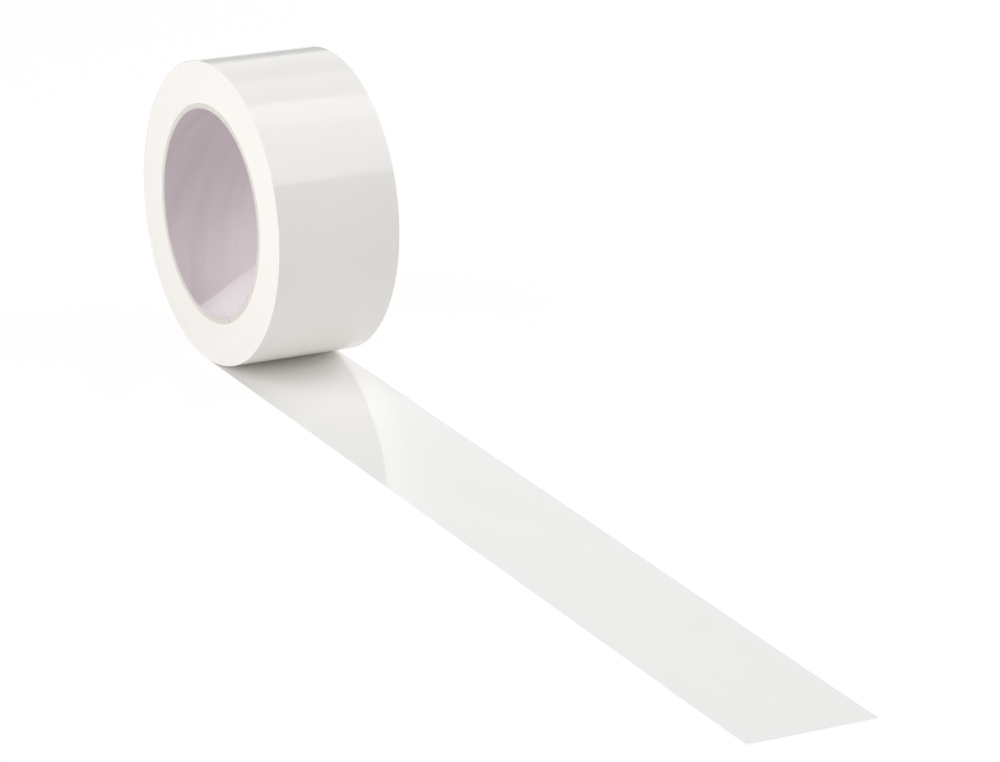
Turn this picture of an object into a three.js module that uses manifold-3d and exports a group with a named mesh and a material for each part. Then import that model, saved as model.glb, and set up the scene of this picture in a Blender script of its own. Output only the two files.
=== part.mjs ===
// A roll of packing tape standing on its rim, with a length of tape pulled out flat along the ground.
// Millimetres, +Z up. The roll's axis lies along Y, and the pulled tape runs along +X from under it.
// The origin is on the ground, at the middle of the footprint.

import * as THREE from "three";
import { mergeVertices } from "three/addons/utils/BufferGeometryUtils.js";
import Module from "manifold-3d";

const wasm = await Module();
wasm.setup();

// The tape: a plastic backing film with an adhesive coat
const tapeWidth = 48;
const filmThickness = 0.04;
const adhesiveThickness = 0.025;
const rollRadius = 55.9; // to the outside of the last lap
const tailLength = 374; // from the line where the tape leaves the roll to its cut end
const takeoffLength = 84; // the first stretch of that length, where new tape appears

// The core: a smooth liner and plies of board, each a strip of paper wound at a slant
const boreRadius = 38.4; // slips over a 3 inch hub
const linerThickness = 0.25;
const boardThickness = 0.4;
const boardCount = 4;
const stripWidth = 100;
const seamGap = 0.2; // open butt seam between the edges of one strip
const linerSeamAngle = Math.PI / 2; // where the liner's seam is half way across: facing the tail
const slotDepth = 3; // in thicknesses of the ply, so that a seam's slot cuts right through it

// Clearances
const glueLine = 0.03; // between the plies, and between the core and the tape
const runningClearance = 0.1; // lets the roll turn inside its last lap
const buttGap = 0.3; // between stretches of tape that meet end to end

// Facets around the roll, and how many of them the last lap leaves open before it would meet itself
const facets = 72;
const openFacets = 2;

const tapeThickness = filmThickness + adhesiveThickness;
const facetAngle = (2 * Math.PI) / facets;
const lapFacets = facets - openFacets;
const lapSweep = lapFacets * facetAngle;
const leaveAngle = -Math.PI / 2; // the lowest point of the roll
const footprintMiddle = (tailLength - rollRadius) / 2;

const finishes = {
  film: { color: 0xe6e3de, roughness: 0.18, metalness: 0 },
  adhesive: { color: 0xf0f0ec, roughness: 0.1, metalness: 0 },
  edges: { color: 0xf8f4ec, roughness: 0.55, metalness: 0 },
  liner: { color: 0xbcadb2, roughness: 0.6, metalness: 0 },
  board: { color: 0xb9aca4, roughness: 0.9, metalness: 0 },
};

function part(name, geometry, finish) {
  const mesh = new THREE.Mesh(geometry, new THREE.MeshStandardMaterial(finishes[finish]));
  mesh.name = name;
  return mesh;
}

// Booleans work on closed meshes that share their vertices

function solid(geometry) {
  const bare = geometry.clone();
  bare.deleteAttribute("normal");
  bare.deleteAttribute("uv");
  const shared = mergeVertices(bare);
  const vertProperties = new Float32Array(shared.attributes.position.array);
  const triVerts = new Uint32Array(shared.index.array);
  return new wasm.Manifold(new wasm.Mesh({ numProp: 3, vertProperties, triVerts }));
}

function geometryOf(manifold) {
  const { vertProperties, triVerts } = manifold.getMesh();
  const geometry = new THREE.BufferGeometry();
  geometry.setAttribute("position", new THREE.BufferAttribute(vertProperties, 3));
  geometry.setIndex(new THREE.BufferAttribute(triVerts, 1));
  geometry.computeVertexNormals();
  return geometry;
}

// A plain ring about the roll's axis, as wide as the tape
function ring(inner, outer) {
  const half = tapeWidth / 2;
  const profile = [
    new THREE.Vector2(inner, -half),
    new THREE.Vector2(outer, -half),
    new THREE.Vector2(outer, half),
    new THREE.Vector2(inner, half),
    new THREE.Vector2(inner, -half),
  ];
  return new THREE.LatheGeometry(profile, facets);
}

// The slot that a ply's butt seam leaves: a bar bent round the core along the edge of the strip.
// A strip as wide as stripWidth closes on itself when its slant is asin(stripWidth / circumference).
function seamSlot(inner, outer, startAngle) {
  const middle = (inner + outer) / 2;
  const circumference = 2 * Math.PI * middle;
  const slant = Math.asin(stripWidth / circumference);
  const lead = stripWidth / Math.cos(slant);
  const depth = slotDepth * (outer - inner);
  const length = tapeWidth + 2 * seamGap;
  const width = seamGap / Math.sin(slant);
  const steps = Math.ceil((length / lead) * (facets / 2));
  const bar = new THREE.BoxGeometry(depth, length, width, 1, steps, 1);
  const position = bar.attributes.position;
  for (let i = 0; i < position.count; i++) {
    const radius = middle + position.getX(i);
    const y = position.getY(i);
    const angle = startAngle + (2 * Math.PI * y) / lead - position.getZ(i) / middle;
    position.setXYZ(i, radius * Math.sin(angle), y, radius * Math.cos(angle));
  }
  return bar;
}

function woundPly(inner, thickness, startAngle) {
  const outer = inner + thickness;
  const tube = solid(ring(inner, outer));
  return geometryOf(tube.subtract(solid(seamSlot(inner, outer, startAngle))));
}

// The core, from the liner outwards, with its seams spread evenly round the tube
function core() {
  const group = new THREE.Group();
  const stagger = (2 * Math.PI) / (boardCount + 1);
  group.add(part("core_liner", woundPly(boreRadius, linerThickness, linerSeamAngle), "liner"));
  let inner = boreRadius + linerThickness + glueLine;
  for (let ply = 1; ply <= boardCount; ply++) {
    const seamAngle = linerSeamAngle + ply * stagger;
    group.add(part(`core_ply_${ply}`, woundPly(inner, boardThickness, seamAngle), "board"));
    inner += boardThickness + glueLine;
  }
  return { group, outerRadius: inner };
}

// One layer of the last lap: an open band that starts under the roll, where the tape leaves it,
// and goes back over the top, nearly all the way round
function lapLayer(inner, outer) {
  const endAngle = leaveAngle - lapSweep;
  const outline = new THREE.Shape();
  outline.absarc(0, 0, outer, leaveAngle, endAngle, true);
  outline.absarc(0, 0, inner, endAngle, leaveAngle, false);
  const options = { depth: tapeWidth, bevelEnabled: false, curveSegments: lapFacets / 2 };
  const band = new THREE.ExtrudeGeometry(outline, options);
  band.translate(0, 0, -tapeWidth / 2);
  return band.rotateX(Math.PI / 2);
}

function lastLap() {
  const group = new THREE.Group();
  const bond = rollRadius - filmThickness;
  const inside = rollRadius - tapeThickness;
  group.add(part("outer_lap_film", lapLayer(bond, rollRadius), "film"));
  group.add(part("outer_lap_adhesive", lapLayer(inside, bond), "adhesive"));
  return group;
}

// A flat stretch of tape on the ground, film below and adhesive on top
function flatStretch(name, start, end) {
  const group = new THREE.Group();
  const length = end - start;
  const film = part(`${name}_film`, new THREE.BoxGeometry(length, tapeWidth, filmThickness), "film");
  const coat = new THREE.BoxGeometry(length, tapeWidth, adhesiveThickness);
  const adhesive = part(`${name}_adhesive`, coat, "adhesive");
  film.position.set(start + length / 2, 0, filmThickness / 2);
  adhesive.position.set(start + length / 2, 0, filmThickness + adhesiveThickness / 2);
  group.add(film, adhesive);
  return group;
}

// The tape's middle line from the inner end of the last lap to the cut end, in X and Z
function tapePath(spacing) {
  const path = [];
  const radius = rollRadius - tapeThickness / 2;
  for (let step = lapFacets; step >= 0; step--) {
    const angle = leaveAngle - step * facetAngle;
    path.push(new THREE.Vector2(radius * Math.cos(angle), rollRadius + radius * Math.sin(angle)));
  }
  for (let x = spacing; x <= tailLength; x += spacing) {
    path.push(new THREE.Vector2(x, tapeThickness / 2));
  }
  return path;
}

function leastGapToItself(path, nearestNeighbour) {
  let least = Infinity;
  for (let i = 0; i < path.length; i++) {
    for (let j = i + nearestNeighbour; j < path.length; j++) {
      least = Math.min(least, path[i].distanceTo(path[j]));
    }
  }
  return least - tapeThickness;
}

const packingTapeRoll = new THREE.Group();
packingTapeRoll.name = "packing_tape_roll";
const standing = new THREE.Group();
standing.position.x = -footprintMiddle;
packingTapeRoll.add(standing);

const roll = new THREE.Group();
roll.position.z = rollRadius;
const tube = core();
const packRadius = rollRadius - tapeThickness - runningClearance;
roll.add(tube.group);
roll.add(part("wound_tape", ring(tube.outerRadius, packRadius), "edges"));
roll.add(lastLap());
standing.add(roll);

standing.add(flatStretch("takeoff", buttGap, takeoffLength));
standing.add(flatStretch("tail", takeoffLength + buttGap, tailLength));

const pathSpacing = 0.5;
const gap = leastGapToItself(tapePath(pathSpacing), facets / 2);
console.log(`outer lap: least gap of the tape to itself ${gap.toFixed(3)} mm`);

export default packingTapeRoll;
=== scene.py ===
# %% [markdown]
# A roll of packing tape stands on its rim, and a length of tape has been pulled out from under it.
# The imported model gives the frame: where every piece is, how large it is and how it moves.
# This lesson builds the surfaces of the roll around that frame, one piece and one finish at a time.

# %% Load the frame
from math import atan2, cos, pi, radians, sin, tau

import bmesh
import bpy
import numpy as np
from mathutils import Matrix, Vector


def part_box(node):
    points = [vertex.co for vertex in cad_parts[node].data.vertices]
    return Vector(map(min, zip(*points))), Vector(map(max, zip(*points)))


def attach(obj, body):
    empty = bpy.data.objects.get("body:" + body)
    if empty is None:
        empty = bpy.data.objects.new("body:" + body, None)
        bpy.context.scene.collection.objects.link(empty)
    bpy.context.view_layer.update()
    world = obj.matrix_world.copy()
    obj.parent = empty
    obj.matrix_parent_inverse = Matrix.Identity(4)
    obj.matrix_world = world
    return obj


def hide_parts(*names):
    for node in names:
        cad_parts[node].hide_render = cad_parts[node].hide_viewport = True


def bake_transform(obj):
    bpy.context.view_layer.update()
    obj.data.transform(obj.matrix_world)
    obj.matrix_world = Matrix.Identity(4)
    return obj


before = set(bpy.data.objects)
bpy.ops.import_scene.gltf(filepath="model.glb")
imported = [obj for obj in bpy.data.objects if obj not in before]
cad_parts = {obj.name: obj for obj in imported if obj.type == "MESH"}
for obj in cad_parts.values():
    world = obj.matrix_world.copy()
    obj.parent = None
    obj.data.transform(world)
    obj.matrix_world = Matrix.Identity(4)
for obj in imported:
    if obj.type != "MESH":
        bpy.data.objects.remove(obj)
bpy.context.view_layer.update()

# %% [markdown]
# Sizes come from the frame, in metres. The box of the outermost lap gives the roll's axis, its radius
# and the width of the tape. The thin layers are written here as the maker of the tape would state them.

# %% Sizes
MM = 0.001

lap_low, lap_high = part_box("outer_lap_film")
axis_x = (lap_low.x + lap_high.x) / 2
roll_radius = (lap_high.z - lap_low.z) / 2
tape_width = lap_high.y - lap_low.y
half_width = tape_width / 2
axis_point = Vector((axis_x, 0, roll_radius))

pack_radius = (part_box("wound_tape")[1].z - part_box("wound_tape")[0].z) / 2
tail_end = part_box("tail_film")[1].x

film = 0.04 * MM
adhesive = 0.025 * MM
liner_paper = 0.25 * MM
board = 0.4 * MM
glue_line = 0.03 * MM

print(f"roll {2 * roll_radius / MM:.1f} mm across, tape {tape_width / MM:.1f} mm wide,",
      f"{(tail_end - axis_x) / MM:.0f} mm pulled out")

# %% [markdown]
# Two kinds of body cover the whole object. A sheet of paper or film is a grid of points with a second
# grid a little way off, stitched together round the rim: that is a slab. A wound pack is a section
# carried round the axis: that is a ring. Writing the points with numpy keeps every face a clean quad.

# %% Mesh helpers
def make_piece(name, points, faces):
    mesh = bpy.data.meshes.new(name)
    mesh.from_pydata(points.tolist(), [], faces.tolist())
    mesh.update()
    shaped = bmesh.new()
    shaped.from_mesh(mesh)
    bmesh.ops.recalc_face_normals(shaped, faces=shaped.faces)
    shaped.to_mesh(mesh)
    shaped.free()
    mesh.shade_smooth()
    mesh.set_sharp_from_angle(angle=radians(35))
    piece = bpy.data.objects.new(name, mesh)
    bpy.context.scene.collection.objects.link(piece)
    return piece


def quads(rows, columns, close_rows=False, close_columns=False):
    down = np.arange(rows if close_rows else rows - 1)
    across = np.arange(columns if close_columns else columns - 1)
    r, c = np.meshgrid(down, across, indexing="ij")
    r1, c1 = (r + 1) % rows, (c + 1) % columns
    corners = (r * columns + c, r1 * columns + c, r1 * columns + c1, r * columns + c1)
    return np.stack(corners, axis=-1).reshape(-1, 4)


def slab(name, lower, upper, along, across):
    """A closed sheet between two grids of points. along and across are its flat coordinates, kept as UV."""
    rows, columns = lower.shape[:2]
    count = rows * columns
    sheet = quads(rows, columns)
    index = np.arange(count).reshape(rows, columns)
    rim = np.concatenate([index[0, :], index[1:, -1], index[-1, -2::-1], index[-2:0:-1, 0]])
    after = np.roll(rim, -1)
    walls = np.stack([rim, after, after + count, rim + count], axis=-1)
    faces = np.concatenate([sheet[:, ::-1], sheet + count, walls])
    points = np.concatenate([lower.reshape(-1, 3), upper.reshape(-1, 3)])
    piece = make_piece(name, points, faces)
    flat = np.stack([along, across], axis=-1).reshape(-1, 2)
    set_uv(piece, np.concatenate([flat, flat]))
    return piece


def set_uv(piece, flat):
    mesh = piece.data
    corners = np.zeros(len(mesh.loops), np.int32)
    mesh.loops.foreach_get("vertex_index", corners)
    layer = mesh.uv_layers.new(name="flat")
    layer.data.foreach_set("uv", flat[corners].astype(np.float32).ravel())


def ring(name, radius, width, angles):
    """A closed ring about the Y axis. Each row of radius and width is the section at one angle."""
    turn = angles[:, None]
    points = np.stack([radius * np.sin(turn), width, radius * np.cos(turn)], axis=-1)
    faces = quads(*radius.shape, close_rows=True, close_columns=True)
    return make_piece(name, points.reshape(-1, 3), faces)


def smooth_noise(values, seed, knots):
    """A gentle random curve over values from 0 to 1, the same on every run."""
    rng = np.random.default_rng(seed)
    heights = rng.uniform(-1, 1, knots + 3)
    place = np.clip(values, 0, 1) * knots
    i = np.minimum(place.astype(int), knots - 1)
    t = place - i
    a, b, c, d = (heights[i + k] for k in range(4))
    cubic = (-a + 3 * b - 3 * c + d) * t**3
    square = 3 * (a - 2 * b + c) * t**2
    return (cubic + square + 3 * (c - a) * t + a + 4 * b + c) / 6


print("helpers ready")

# %% [markdown]
# The core is a paper tube wound from strips at a slant. Each strip closes on itself along a butt seam
# that climbs round the tube. A revolved tube would hide that, so each ply is drawn as the strip it is:
# a slab whose two long edges are the two sides of its seam.

# %% Core plies
strip_width = 100 * MM
seam_gap = 0.2 * MM
liner_seam = radians(90)
cut_fuzz = 0.05 * MM


def wound_ply(name, inner, thickness, start_angle, columns, rows, seed):
    middle = inner + thickness / 2
    slant = np.arcsin(strip_width / (tau * middle))
    lead = strip_width / np.cos(slant)
    opening = seam_gap / np.sin(slant) / middle
    share = np.linspace(0, 1, columns)[None, :]
    y = np.linspace(-half_width, half_width, rows)[:, None]
    turn = start_angle + tau * y / lead + opening / 2 + share * (tau - opening)
    fuzz = cut_fuzz * smooth_noise(share, seed, columns // 2)
    edge = np.abs(y) > half_width * 0.999
    y = np.where(edge, y - np.sign(y) * np.abs(fuzz), y + 0 * share)

    def at(radius):
        return np.stack([radius * np.sin(turn), y, radius * np.cos(turn)], axis=-1)

    along = share * (tau - opening) * middle + 0 * y
    piece = slab(name, at(inner), at(inner + thickness), along, y)
    piece.location = axis_point
    return piece


bore_radius = (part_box("core_liner")[1].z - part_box("core_liner")[0].z) / 2 - liner_paper
plies = 4
stagger = tau / (plies + 1)
core_liner = wound_ply("core_liner_paper", bore_radius, liner_paper, liner_seam, 181, 49, 11)
core_boards = []
for ply in range(1, plies + 1):
    outer = (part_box(f"core_ply_{ply}")[1].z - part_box(f"core_ply_{ply}")[0].z) / 2
    name = f"core_board_{ply}"
    seam = liner_seam + ply * stagger
    core_boards.append(wound_ply(name, outer - board, board, seam, 181, 25, 11 + ply))
core_radius = outer + glue_line
print(f"core: bore {2 * bore_radius / MM:.1f} mm, {plies} boards, outside {2 * core_radius / MM:.1f} mm")

# %% [markdown]
# The wound pack shows its flat sides, where hundreds of film edges lie side by side. No two turns sit
# quite level, so the sides carry faint rings. They are cut into the mesh as fine ridges, a few
# hundredths of a millimetre high, because a ridge catches raking light and a painted line doesn't.

# %% Wound pack
ridge_rows = 150
pack_steps = 240
fine_ridge = 0.018 * MM
broad_ridge = 0.05 * MM


def wound_pack():
    angles = np.linspace(0, tau, pack_steps, endpoint=False)
    share = np.linspace(0, 1, ridge_rows)
    sway = 0.004 * np.sin(angles[:, None] + 0.7) + 0.002 * np.sin(3 * angles[:, None])
    where = np.clip(share[None, :] + sway * np.sin(pi * share[None, :]), 0, 1)
    radius = np.broadcast_to(core_radius + share * (pack_radius - core_radius), where.shape)

    def side(seed):
        level = fine_ridge * smooth_noise(where, seed, 110) + broad_ridge * smooth_noise(where, seed + 1, 9)
        return half_width - np.abs(level)

    front, back = -side(31), side(41)
    radii = np.concatenate([radius, radius[:, ::-1]], axis=1)
    widths = np.concatenate([front, back[:, ::-1]], axis=1)
    piece = ring("wound_edges", radii, widths, angles)
    piece.location = axis_point
    return piece


wound_edges = wound_pack()
print("wound pack:", len(wound_edges.data.polygons), "faces")

# %% [markdown]
# The free tape is one unbroken strip: the outermost lap goes round the roll, comes down to the ground
# and runs out straight to a square-cut end. It has two layers, a film and a coat of adhesive. Both
# follow one path, at different distances from it. The lap creeps inwards as it goes back round, so that
# its inner end slips under the place where the tape leaves, as on a real roll.

# %% The tape's path
lap_turn = radians(380)
lap_step = film + adhesive + 0.02 * MM
lap_rows = 254
flat_rows = 150
width_columns = 21


def tape_path():
    """Points and inward directions along the film's outer face, in X and Z, with the length so far."""
    back = np.linspace(lap_turn, 0, lap_rows)
    radius = roll_radius - lap_step * back / tau
    lap = np.stack([axis_x - radius * np.sin(back), roll_radius - radius * np.cos(back)], axis=-1)
    lap_inward = np.stack([np.sin(back), np.cos(back)], axis=-1)
    x = np.linspace(axis_x, tail_end, flat_rows + 1)[1:]
    flat = np.stack([x, 0 * x], axis=-1)
    flat_inward = np.stack([0 * x, 0 * x + 1], axis=-1)
    points = np.concatenate([lap, flat])
    inward = np.concatenate([lap_inward, flat_inward])
    steps = np.linalg.norm(np.diff(points, axis=0), axis=1)
    return points, inward, np.concatenate([[0], np.cumsum(steps)])


path, inward, run = tape_path()

# %% [markdown]
# A strip of film that has been wound for months never lies dead flat. It keeps a trace of waviness, a
# few hundredths of a millimetre, and lifts a little at its cut end. The lift is added to both layers
# alike, so they stay bonded.

# %% Tape layers
ripple = 0.05 * MM
ripple_length = 71 * MM
end_lift = 0.25 * MM
end_reach = 60 * MM


def lift():
    x = path[:, 0][:, None]
    y = np.linspace(-half_width, half_width, width_columns)[None, :]
    out = np.clip((x - axis_x - roll_radius) / (tail_end - axis_x), 0, 1)
    out = np.where(np.arange(len(path))[:, None] < lap_rows, 0, out)
    wave = 0.5 + 0.5 * np.sin(tau * (x / ripple_length + 0.3 * y / tape_width)) * np.cos(pi * y / tape_width)
    curl = np.clip((x - tail_end + end_reach) / end_reach, 0, 1) ** 2
    curl = np.where(out > 0, curl, 0)
    return out * ripple * wave * 2 + end_lift * curl


def tape_layer(name, near, far):
    y = np.linspace(-half_width, half_width, width_columns)
    rise = lift()

    def at(depth):
        depth = depth + rise
        x = path[:, :1] + inward[:, :1] * depth
        z = path[:, 1:] + inward[:, 1:] * depth
        return np.stack([x, np.broadcast_to(y, x.shape), z], axis=-1)

    along = np.broadcast_to(run[:, None], rise.shape)
    across = np.broadcast_to(y[None, :], rise.shape)
    return slab(name, at(near), at(far), along, across)


tape_film = tape_layer("tape_film", 0, film)
tape_coat = tape_layer("tape_coat", film, film + adhesive)
print("tape layers:", len(tape_film.data.polygons), "faces each")

# %% [markdown]
# Finishes are node trees. A small helper adds a node, sets its named inputs and keeps the rest of the
# lesson short. Values that are the same all over a surface are set on the shader's own sockets.

# %% Node helpers
def finish(name):
    material = bpy.data.materials.new(name)
    material.use_nodes = True
    return material, material.node_tree, material.node_tree.nodes["Principled BSDF"]


def add(tree, kind, **inputs):
    node = tree.nodes.new("ShaderNode" + kind)
    for socket, value in inputs.items():
        node.inputs[socket.replace("_", " ")].default_value = value
    return node


def feed(tree, output, socket):
    tree.links.new(output, socket)


def flat_coordinates(tree, stretch):
    """The strip's own flat coordinates in metres, stretched to the size of the grain."""
    uv = add(tree, "UVMap")
    uv.uv_map = "flat"
    mapping = add(tree, "Mapping", Scale=stretch)
    feed(tree, uv.outputs["UV"], mapping.inputs["Vector"])
    return mapping.outputs["Vector"]


def noise(tree, vector, scale, detail=2.0, roughness=0.5):
    node = add(tree, "TexNoise", Scale=scale, Detail=detail, Roughness=roughness)
    feed(tree, vector, node.inputs["Vector"])
    return node.outputs["Fac"]


def between(tree, factor, low, high):
    """A colour that goes from low to high with factor."""
    ramp = tree.nodes.new("ShaderNodeValToRGB")
    ramp.color_ramp.elements[0].position = 0.3
    ramp.color_ramp.elements[1].position = 0.7
    ramp.color_ramp.elements[0].color = (*low, 1)
    ramp.color_ramp.elements[1].color = (*high, 1)
    feed(tree, factor, ramp.inputs["Fac"])
    return ramp.outputs["Color"]


def number_between(tree, factor, low, high):
    node = add(tree, "MapRange")
    for socket, value in (("From Min", 0.3), ("From Max", 0.7), ("To Min", low), ("To Max", high)):
        node.inputs[socket].default_value = value
    feed(tree, factor, node.inputs["Value"])
    return node.outputs["Result"]


def bump(tree, height, strength, distance, under=None):
    node = add(tree, "Bump", Strength=strength, Distance=distance)
    feed(tree, height, node.inputs["Height"])
    if under is not None:
        feed(tree, under, node.inputs["Normal"])
    return node.outputs["Normal"]


print("node helpers ready")

# %% [markdown]
# The backing film is white plastic, blown and stretched. It is glossy, with fine lines along its length
# from the die and a slight orange peel. The noise runs in the strip's own flat coordinates, so the lines
# follow the tape round the roll and out along the ground.

# %% White backing film
def white_film():
    material, tree, shader = finish("white_film")
    cloud = noise(tree, flat_coordinates(tree, (14, 30, 1)), 1.0, 3)
    colour = between(tree, cloud, (0.870, 0.848, 0.822), (0.890, 0.868, 0.843))
    feed(tree, colour, shader.inputs["Base Color"])
    feed(tree, number_between(tree, cloud, 0.09, 0.14), shader.inputs["Roughness"])
    die_lines = noise(tree, flat_coordinates(tree, (3, 1400, 1)), 1.0, 2)
    peel = noise(tree, flat_coordinates(tree, (260, 320, 1)), 1.0, 2)
    lined = bump(tree, die_lines, 0.12, 0.002 * MM)
    feed(tree, bump(tree, peel, 0.1, 0.004 * MM, lined), shader.inputs["Normal"])
    shader.inputs["IOR"].default_value = 1.5
    return material


# %% [markdown]
# The adhesive is a clear, wet-looking coat over the white film. Seen from above it is the pulled-out
# tape's shiny face, so it mirrors the roll. It is a little warmer than the film and nearly smooth.

# %% Adhesive coat
def adhesive_coat():
    material, tree, shader = finish("adhesive_coat")
    cloud = noise(tree, flat_coordinates(tree, (20, 40, 1)), 1.0, 3)
    colour = between(tree, cloud, (0.938, 0.933, 0.918), (0.955, 0.950, 0.936))
    feed(tree, colour, shader.inputs["Base Color"])
    feed(tree, number_between(tree, cloud, 0.05, 0.09), shader.inputs["Roughness"])
    streaks = noise(tree, flat_coordinates(tree, (6, 700, 1)), 1.0, 2)
    feed(tree, bump(tree, streaks, 0.1, 0.002 * MM), shader.inputs["Normal"])
    shader.inputs["IOR"].default_value = 1.47
    return material


# %% [markdown]
# The sides of the pack are film edges, cream white and satin. Their rings are measured from the roll's
# axis: the distance to the axis drives a one-dimensional noise, which gives lines of uneven strength.

# %% Film edges
def film_edges():
    material, tree, shader = finish("film_edges")
    place = add(tree, "TexCoord")
    parts = add(tree, "SeparateXYZ")
    feed(tree, place.outputs["Object"], parts.inputs["Vector"])
    level = add(tree, "CombineXYZ")
    feed(tree, parts.outputs["X"], level.inputs["X"])
    feed(tree, parts.outputs["Z"], level.inputs["Z"])
    reach = add(tree, "VectorMath")
    reach.operation = "LENGTH"
    feed(tree, level.outputs["Vector"], reach.inputs[0])
    rings = add(tree, "TexNoise", Scale=2600.0, Detail=3.0)
    rings.noise_dimensions = "1D"
    feed(tree, reach.outputs["Value"], rings.inputs["W"])
    bands = add(tree, "TexNoise", Scale=260.0, Detail=2.0)
    bands.noise_dimensions = "1D"
    feed(tree, reach.outputs["Value"], bands.inputs["W"])
    cloud = noise(tree, place.outputs["Object"], 18.0)
    colour = between(tree, cloud, (0.935, 0.895, 0.865), (0.94, 0.92, 0.88))
    feed(tree, colour, shader.inputs["Base Color"])
    feed(tree, number_between(tree, bands.outputs["Fac"], 0.42, 0.58), shader.inputs["Roughness"])
    feed(tree, bump(tree, rings.outputs["Fac"], 0.2, 0.01 * MM), shader.inputs["Normal"])
    return material


# %% [markdown]
# The core's paper is fibrous. The liner is calendered smooth, lavender grey and softly mottled. The
# boards show only their cut ends, grey and rough.

# %% Core papers
def liner_finish():
    material, tree, shader = finish("liner_paper")
    mottle = noise(tree, flat_coordinates(tree, (60, 60, 1)), 1.0, 4)
    fibres = noise(tree, flat_coordinates(tree, (500, 2500, 1)), 1.0, 3)
    colour = between(tree, mottle, (0.62, 0.545, 0.575), (0.68, 0.605, 0.635))
    feed(tree, colour, shader.inputs["Base Color"])
    feed(tree, bump(tree, fibres, 0.25, 0.02 * MM), shader.inputs["Normal"])
    shader.inputs["Roughness"].default_value = 0.5
    return material


def board_finish(ply):
    material, tree, shader = finish(f"grey_board_{ply}")
    place = add(tree, "TexCoord")
    pulp = noise(tree, place.outputs["Object"], 900.0, 4)
    shade = 0.70 + 0.03 * (ply % 2)
    dark = (shade, shade * 0.94, shade * 0.88)
    light = (shade + 0.1, shade * 0.94 + 0.1, shade * 0.88 + 0.1)
    colour = between(tree, pulp, dark, light)
    feed(tree, colour, shader.inputs["Base Color"])
    feed(tree, bump(tree, pulp, 0.4, 0.05 * MM), shader.inputs["Normal"])
    shader.inputs["Roughness"].default_value = 0.9
    return material


def dress(piece, material):
    piece.data.materials.append(material)


dress(tape_film, white_film())
dress(tape_coat, adhesive_coat())
dress(wound_edges, film_edges())
dress(core_liner, liner_finish())
for ply, piece in enumerate(core_boards, 1):
    dress(piece, board_finish(ply))
print("finishes:", len(bpy.data.materials))

# %% [markdown]
# Each piece of the core and the pack rides on the roll's body, and stands for the plain solids of the frame.
# The strip's two layers keep their place, with their placing baked into their points, and stand for the
# frame's lap, take-off and tail solids.

# %% Bodies
for ply, piece in enumerate(core_boards, 1):
    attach(piece, "roll")
    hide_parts(f"core_ply_{ply}")
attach(core_liner, "roll")
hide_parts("core_liner")
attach(wound_edges, "roll")
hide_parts("wound_tape")

for piece, layer in ((tape_film, "film"), (tape_coat, "adhesive")):
    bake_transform(piece)
    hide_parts(f"outer_lap_{layer}", f"takeoff_{layer}", f"tail_{layer}")

# %% [markdown]
# The camera stands where the photograph was taken from: low, to the right of the roll, with a long
# lens. The picture point of the roll's middle then fixes where it looks.

# %% Camera
picture = (1000, 762)
roll_in_picture = (269.2, 205.8)
focal_pixels = 4898.4
camera_turn = radians(60.08)
camera_height = radians(20.16)
camera_tilt = radians(2.25)
camera_distance = 1786.4 * MM


def place_camera():
    back = Vector((sin(camera_turn) * cos(camera_height), -cos(camera_turn) * cos(camera_height),
                   sin(camera_height)))
    level = Vector((cos(camera_turn), sin(camera_turn), 0))
    upright = back.cross(level)
    right = cos(camera_tilt) * level + sin(camera_tilt) * upright
    up = -sin(camera_tilt) * level + cos(camera_tilt) * upright
    aside = (roll_in_picture[0] - picture[0] / 2) * camera_distance / focal_pixels
    above = (picture[1] / 2 - roll_in_picture[1]) * camera_distance / focal_pixels
    point = axis_point + back * camera_distance - right * aside - up * above
    data = bpy.data.cameras.new("camera")
    data.sensor_width = 36
    data.lens = focal_pixels * data.sensor_width / picture[0]
    camera = bpy.data.objects.new("camera", data)
    turn = Matrix((right, up, back)).transposed().to_4x4()
    camera.matrix_world = Matrix.Translation(point) @ turn
    bpy.context.scene.collection.objects.link(camera)
    bpy.context.scene.camera = camera
    return camera


camera = place_camera()
print(f"camera: {camera.data.lens:.1f} mm lens, {camera.location.length:.2f} m from the origin")

# %% [markdown]
# The light is a studio's: soft boxes in a pale room. Four of them hang over the far side like a bent
# canopy, and the glossy film mirrors them, so the canopy's lower edge draws the sharp step across the
# side of the roll and the short box below it draws the bright band near the top. Boxes in front and
# behind light the two flat sides, the tape and the inside of the bore. Those are kept out of
# reflections, so that the tape reads from every side. A narrow spot of daylight behind on the left
# shines through the bore on to the liner. Brightness is 1 for a lamp whose face would just look white.

# %% Lamps
daylight = (0.85, 1.0, 0.94)


def put_lamp(data, place, aim):
    """place and aim are measured from the middle of the roll."""
    lamp = bpy.data.objects.new(data.name, data)
    lamp.location = axis_point + Vector(place)
    lamp.rotation_euler = (Vector(place) - Vector(aim)).to_track_quat("Z", "Y").to_euler()
    bpy.context.scene.collection.objects.link(lamp)
    return lamp


def softbox(name, place, size, brightness, aim=(0, 0, 0), mirrored=False):
    data = bpy.data.lights.new(name, "AREA")
    data.shape = "RECTANGLE"
    data.size, data.size_y = size
    data.energy = brightness * pi * size[0] * size[1]
    put_lamp(data, place, aim).visible_glossy = mirrored


def spot(name, place, aim, reach, brightness):
    """A snooted lamp. reach is the radius of its pool of light, where it is aimed."""
    distance = (Vector(place) - Vector(aim)).length
    data = bpy.data.lights.new(name, "SPOT")
    data.spot_size = 2 * atan2(reach, distance)
    data.spot_blend = 0.35
    data.shadow_soft_size = 0.012
    data.energy = brightness * (2 * pi * distance) ** 2
    data.color = daylight
    put_lamp(data, place, aim)


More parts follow.
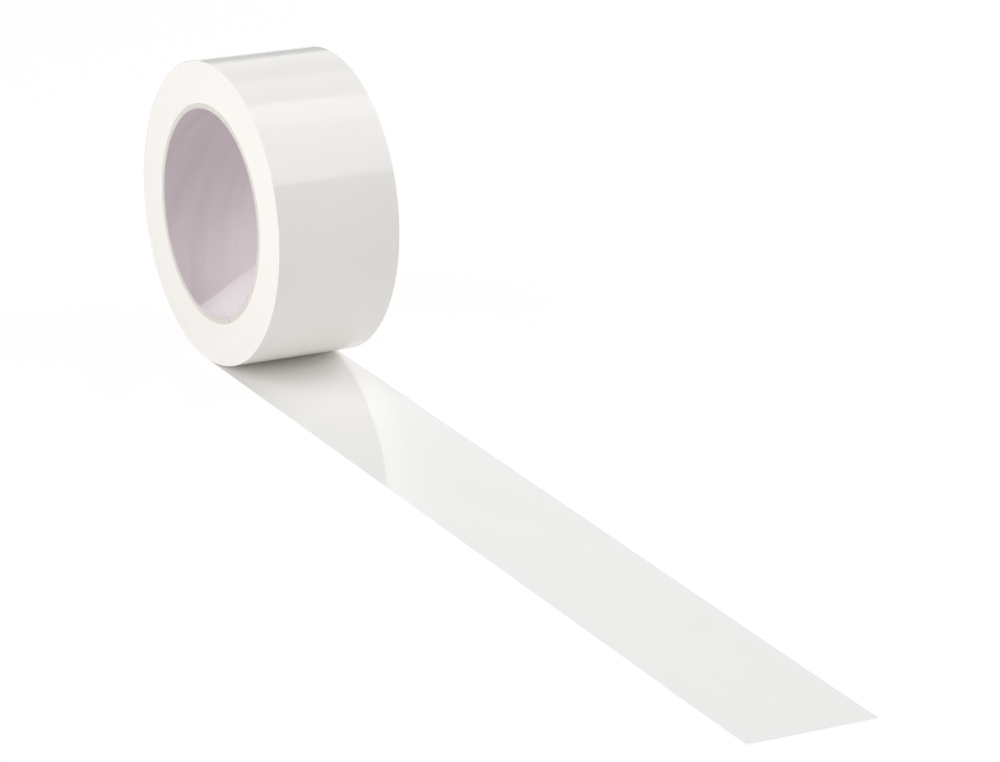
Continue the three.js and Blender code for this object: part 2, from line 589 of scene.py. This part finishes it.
canopy_aim = (0, 0.48, 0)
softbox("canopy_right", (0.39, 0.48, 0.92), (0.25, 1.30), brightness=2.1, aim=canopy_aim, mirrored=True)
softbox("canopy_left", (-0.42, 0.48, 1.00), (0.25, 0.50), brightness=1.0, aim=canopy_aim, mirrored=True)
softbox("canopy_far_left", (-0.85, 0.48, 0.63), (0.25, 0.70), brightness=0.35, aim=canopy_aim, mirrored=True)
softbox("canopy_strip", (0.045, 0.46, 0.90), (0.25, 0.27), brightness=0.7, aim=canopy_aim, mirrored=True)
softbox("front_box", (0.0, -1.1, 0.75), (0.9, 0.9), brightness=2.8)
softbox("front_right_box", (0.7, -1.0, 0.35), (0.8, 0.5), brightness=3.0)
softbox("back_box", (0.1, 1.1, 0.6), (0.9, 0.9), brightness=2.5)
spot("bore_spot", (-0.441, 0.645, 0.486), (-0.0255, 0.024, -0.009), reach=0.016, brightness=0.8)
print("lamps:", len(bpy.data.lights))

# %% [markdown]
# The floor is plain white paper to the eye, and still takes the roll's shadow: part of what the camera
# sees is plain white and part is the lit paper. In the narrow wedge where the roll meets the tape, light
# goes to and fro between white faces many times, so a good number of bounces is allowed.

# %% Room and floor
bpy.context.scene.cycles.max_bounces = 16
bpy.context.scene.cycles.diffuse_bounces = 12


def seen_by_eye(tree):
    """1 for what the camera sees directly, in a mirror or through glass."""
    path_of_light = add(tree, "LightPath")
    total = path_of_light.outputs["Is Camera Ray"]
    for ray in ("Is Glossy Ray", "Is Transmission Ray"):
        either = add(tree, "Math")
        either.operation = "MAXIMUM"
        feed(tree, total, either.inputs[0])
        feed(tree, path_of_light.outputs[ray], either.inputs[1])
        total = either.outputs["Value"]
    return total


room_light = 0.28


def pale_room():
    world = bpy.data.worlds.new("pale_room")
    bpy.context.scene.world = world
    world.use_nodes = True
    tree = world.node_tree
    ambient = tree.nodes["Background"]
    ambient.inputs["Color"].default_value = (1, 1, 1, 1)
    ambient.inputs["Strength"].default_value = room_light
    seen = add(tree, "Background", Color=(1, 1, 1, 1), Strength=1.0)
    mix = add(tree, "MixShader")
    feed(tree, seen_by_eye(tree), mix.inputs["Fac"])
    feed(tree, ambient.outputs["Background"], mix.inputs[1])
    feed(tree, seen.outputs["Background"], mix.inputs[2])
    feed(tree, mix.outputs["Shader"], tree.nodes["World Output"].inputs["Surface"])


floor_white = 0.88
floor_paper = 0.96
floor_glow = 1.03


def pale_floor():
    size = 6.0
    corners = np.array([(-size, -size), (size, -size), (size, size), (-size, size)])
    points = np.column_stack([corners, np.full(4, -0.02 * MM)])
    floor = make_piece("floor", points, np.array([[0, 1, 2, 3]]))
    material = bpy.data.materials.new("pale_floor")
    material.use_nodes = True
    tree = material.node_tree
    tree.nodes.clear()
    paper = add(tree, "BsdfDiffuse", Color=(floor_paper, floor_paper, floor_paper, 1))
    white = add(tree, "Emission", Color=(1, 1, 1, 1), Strength=floor_glow)
    lifted = add(tree, "MixShader")
    share = add(tree, "Math")
    share.operation = "MULTIPLY"
    feed(tree, seen_by_eye(tree), share.inputs[0])
    share.inputs[1].default_value = floor_white
    feed(tree, share.outputs["Value"], lifted.inputs["Fac"])
    feed(tree, paper.outputs["BSDF"], lifted.inputs[1])
    feed(tree, white.outputs["Emission"], lifted.inputs[2])
    output = add(tree, "OutputMaterial")
    feed(tree, lifted.outputs["Shader"], output.inputs["Surface"])
    floor.data.materials.append(material)


pale_room()
pale_floor()
bpy.context.scene.view_settings.view_transform = "Standard"
print("room and floor ready")

# %% [markdown]
# Low behind the roll the studio is dim. A pale wall stands there, out of the lamps' reach, and the film
# mirrors it as the thin dark line along its top edge. The camera looks through it, so that it isn't in
# the way of a view from behind.

# %% Wall behind
wall_distance = 1.8
wall_width = 1.8
wall_height = 0.47
wall_paper = 0.8


def dim_wall():
    away = Vector((-sin(camera_turn), cos(camera_turn), 0))
    aside = Vector((cos(camera_turn), sin(camera_turn), 0)) * wall_width / 2
    foot = Vector((axis_x, 0, 0)) + away * wall_distance
    rise = Vector((0, 0, wall_height))
    corners = (foot - aside, foot + aside, foot + aside + rise, foot - aside + rise)
    wall = make_piece("wall", np.array(corners), np.array([[0, 1, 2, 3]]))
    material, _, shader = finish("dim_wall")
    shader.inputs["Base Color"].default_value = (wall_paper, wall_paper, wall_paper, 1)
    shader.inputs["Roughness"].default_value = 1.0
    wall.data.materials.append(material)
    wall.visible_camera = False


dim_wall()
print(f"wall: {wall_height:.2f} m high, {wall_distance:.1f} m behind the roll")
